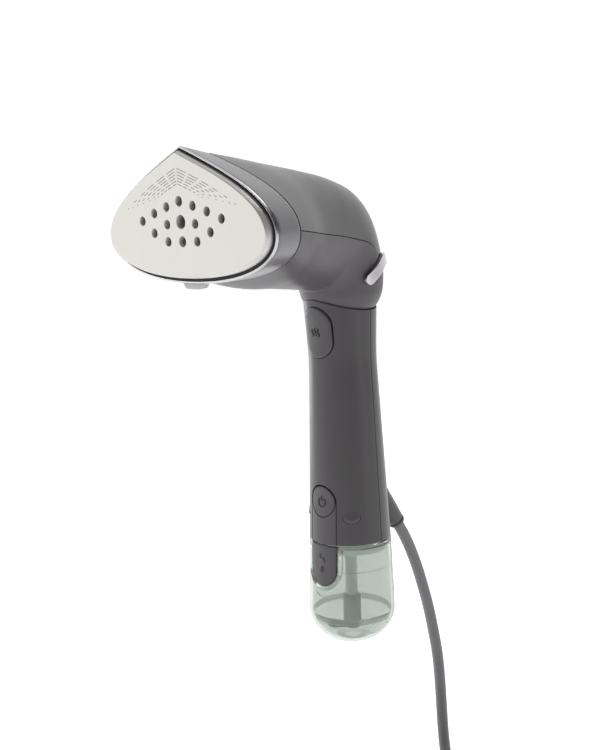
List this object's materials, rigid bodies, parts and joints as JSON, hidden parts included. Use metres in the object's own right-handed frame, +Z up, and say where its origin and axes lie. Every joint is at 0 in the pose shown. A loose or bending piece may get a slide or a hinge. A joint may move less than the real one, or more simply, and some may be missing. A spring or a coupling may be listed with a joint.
{
  "type": "handheld garment steamer",
  "caption": "Handheld garment steamer with a tilting head and flat perforated plate, a round grip, a clear detachable water tank below it and a mains cord.",
  "frame": {"origin": "middle of the grip, on the axis of the handle", "axes": "+Z up along the handle towards the head, -Y the way the heated plate faces, +X towards the right-hand side of the plate when looking along +Y"},
  "size_m": [0.1531, 0.2028, 0.412],
  "materials": {
    "casing": "satin moulded plastic",
    "collar": "satin moulded plastic, lighter than the casing",
    "bezel": "silver-grey moulded trim with a bright edge",
    "soleplate": "smooth ceramic-coated metal, off-white",
    "rubber": "soft black rubber",
    "control": "satin soft-touch plastic",
    "chrome": "bright chromed plastic",
    "tank_clear": "clear grey-green moulded plastic",
    "tank_tube": "tinted translucent plastic",
    "cast_metal": "die-cast, slightly rough",
    "steel": "plain steel",
    "board": "green circuit board with a solder mask",
    "white_plastic": "natural white moulded plastic",
    "copper": "enamelled copper winding",
    "cord_jacket": "matt grey flexible jacket",
    "brass": "bright brass"
  },
  "bodies": {
    "handle": {"handle_front_shell": "casing", "handle_back_shell": "casing", "button_strip": "control", "chassis": "white_plastic", "hinge_pin": "steel", "control_board": "board", "chassis_screw_1": "steel", "chassis_screw_2": "steel", "pump_body": "white_plastic", "pump_coil": "copper", "steam_switch": "rubber", "power_switch": "rubber", "tank_inlet": "white_plastic", "inlet_hose": "rubber", "pump_hose": "rubber", "cord_strain_relief": "casing", "mains_cord": "cord_jacket", "cord_coil": "cord_jacket", "cord_tail": "cord_jacket", "mains_plug": "cord_jacket", "plug_pin_1": "brass", "plug_pin_2": "brass"},
    "head": {"head_upper_shell": "casing", "head_lower_shell": "casing", "head_collar": "collar", "soleplate": "soleplate", "plate_seal": "rubber", "bezel_ring": "bezel", "accessory_catch": "bezel", "steam_chamber": "cast_metal", "chamber_cover": "steel", "heating_element": "steel", "thermostat": "steel", "thermal_fuse": "white_plastic", "steam_hose": "rubber", "hinge_yoke": "white_plastic"},
    "release_lever": {"head_release_lever": "chrome"},
    "trigger": {"steam_trigger": "control"},
    "power": {"power_button": "control"},
    "latch_right": {"tank_latch_button_right": "control"},
    "latch_left": {"tank_latch_button_left": "control"},
    "tank": {"tank_wall": "tank_clear", "tank_base": "tank_clear", "tank_lid": "tank_clear", "tank_valve": "white_plastic", "suction_tube": "tank_tube", "intake_filter": "tank_tube"},
    "filler": {"fill_door": "control", "fill_stopper": "rubber"}
  },
  "joints": [
    {"name": "head_tilt", "type": "hinge", "parent": "handle", "child": "head", "pos_m": [0, -0.002, 0.0776], "axis": [-1, 0, 0], "range_deg": [0, 21]},
    {"name": "head_release", "type": "hinge", "parent": "head", "child": "release_lever", "pos_m": [0, -0.006, 0.0794], "axis": [-1, 0, 0], "range_deg": [0, 4], "stiffness_Nm_per_rad": 0.6},
    {"name": "steam_press", "type": "slide", "parent": "handle", "child": "trigger", "axis": [0, 1, 0], "range_m": [0, 0.0012], "stiffness_N_per_m": 600},
    {"name": "power_press", "type": "slide", "parent": "handle", "child": "power", "axis": [0, 1, 0], "range_m": [0, 0.0008], "stiffness_N_per_m": 800},
    {"name": "latch_press_right", "type": "slide", "parent": "handle", "child": "latch_right", "axis": [-0.729, 0.6845, 0], "range_m": [0, 0.002], "stiffness_N_per_m": 600},
    {"name": "latch_press_left", "type": "slide", "parent": "handle", "child": "latch_left", "axis": [0.729, 0.6845, 0], "range_m": [0, 0.002], "stiffness_N_per_m": 600},
    {"name": "tank_release", "type": "slide", "parent": "handle", "child": "tank", "axis": [0, 0, -1], "range_m": [0, 0.07]},
    {"name": "fill_door_hinge", "type": "hinge", "parent": "tank", "child": "filler", "pos_m": [0, -0.0249, -0.0794], "axis": [-1, 0, 0], "range_deg": [0, 70]}
  ]
}
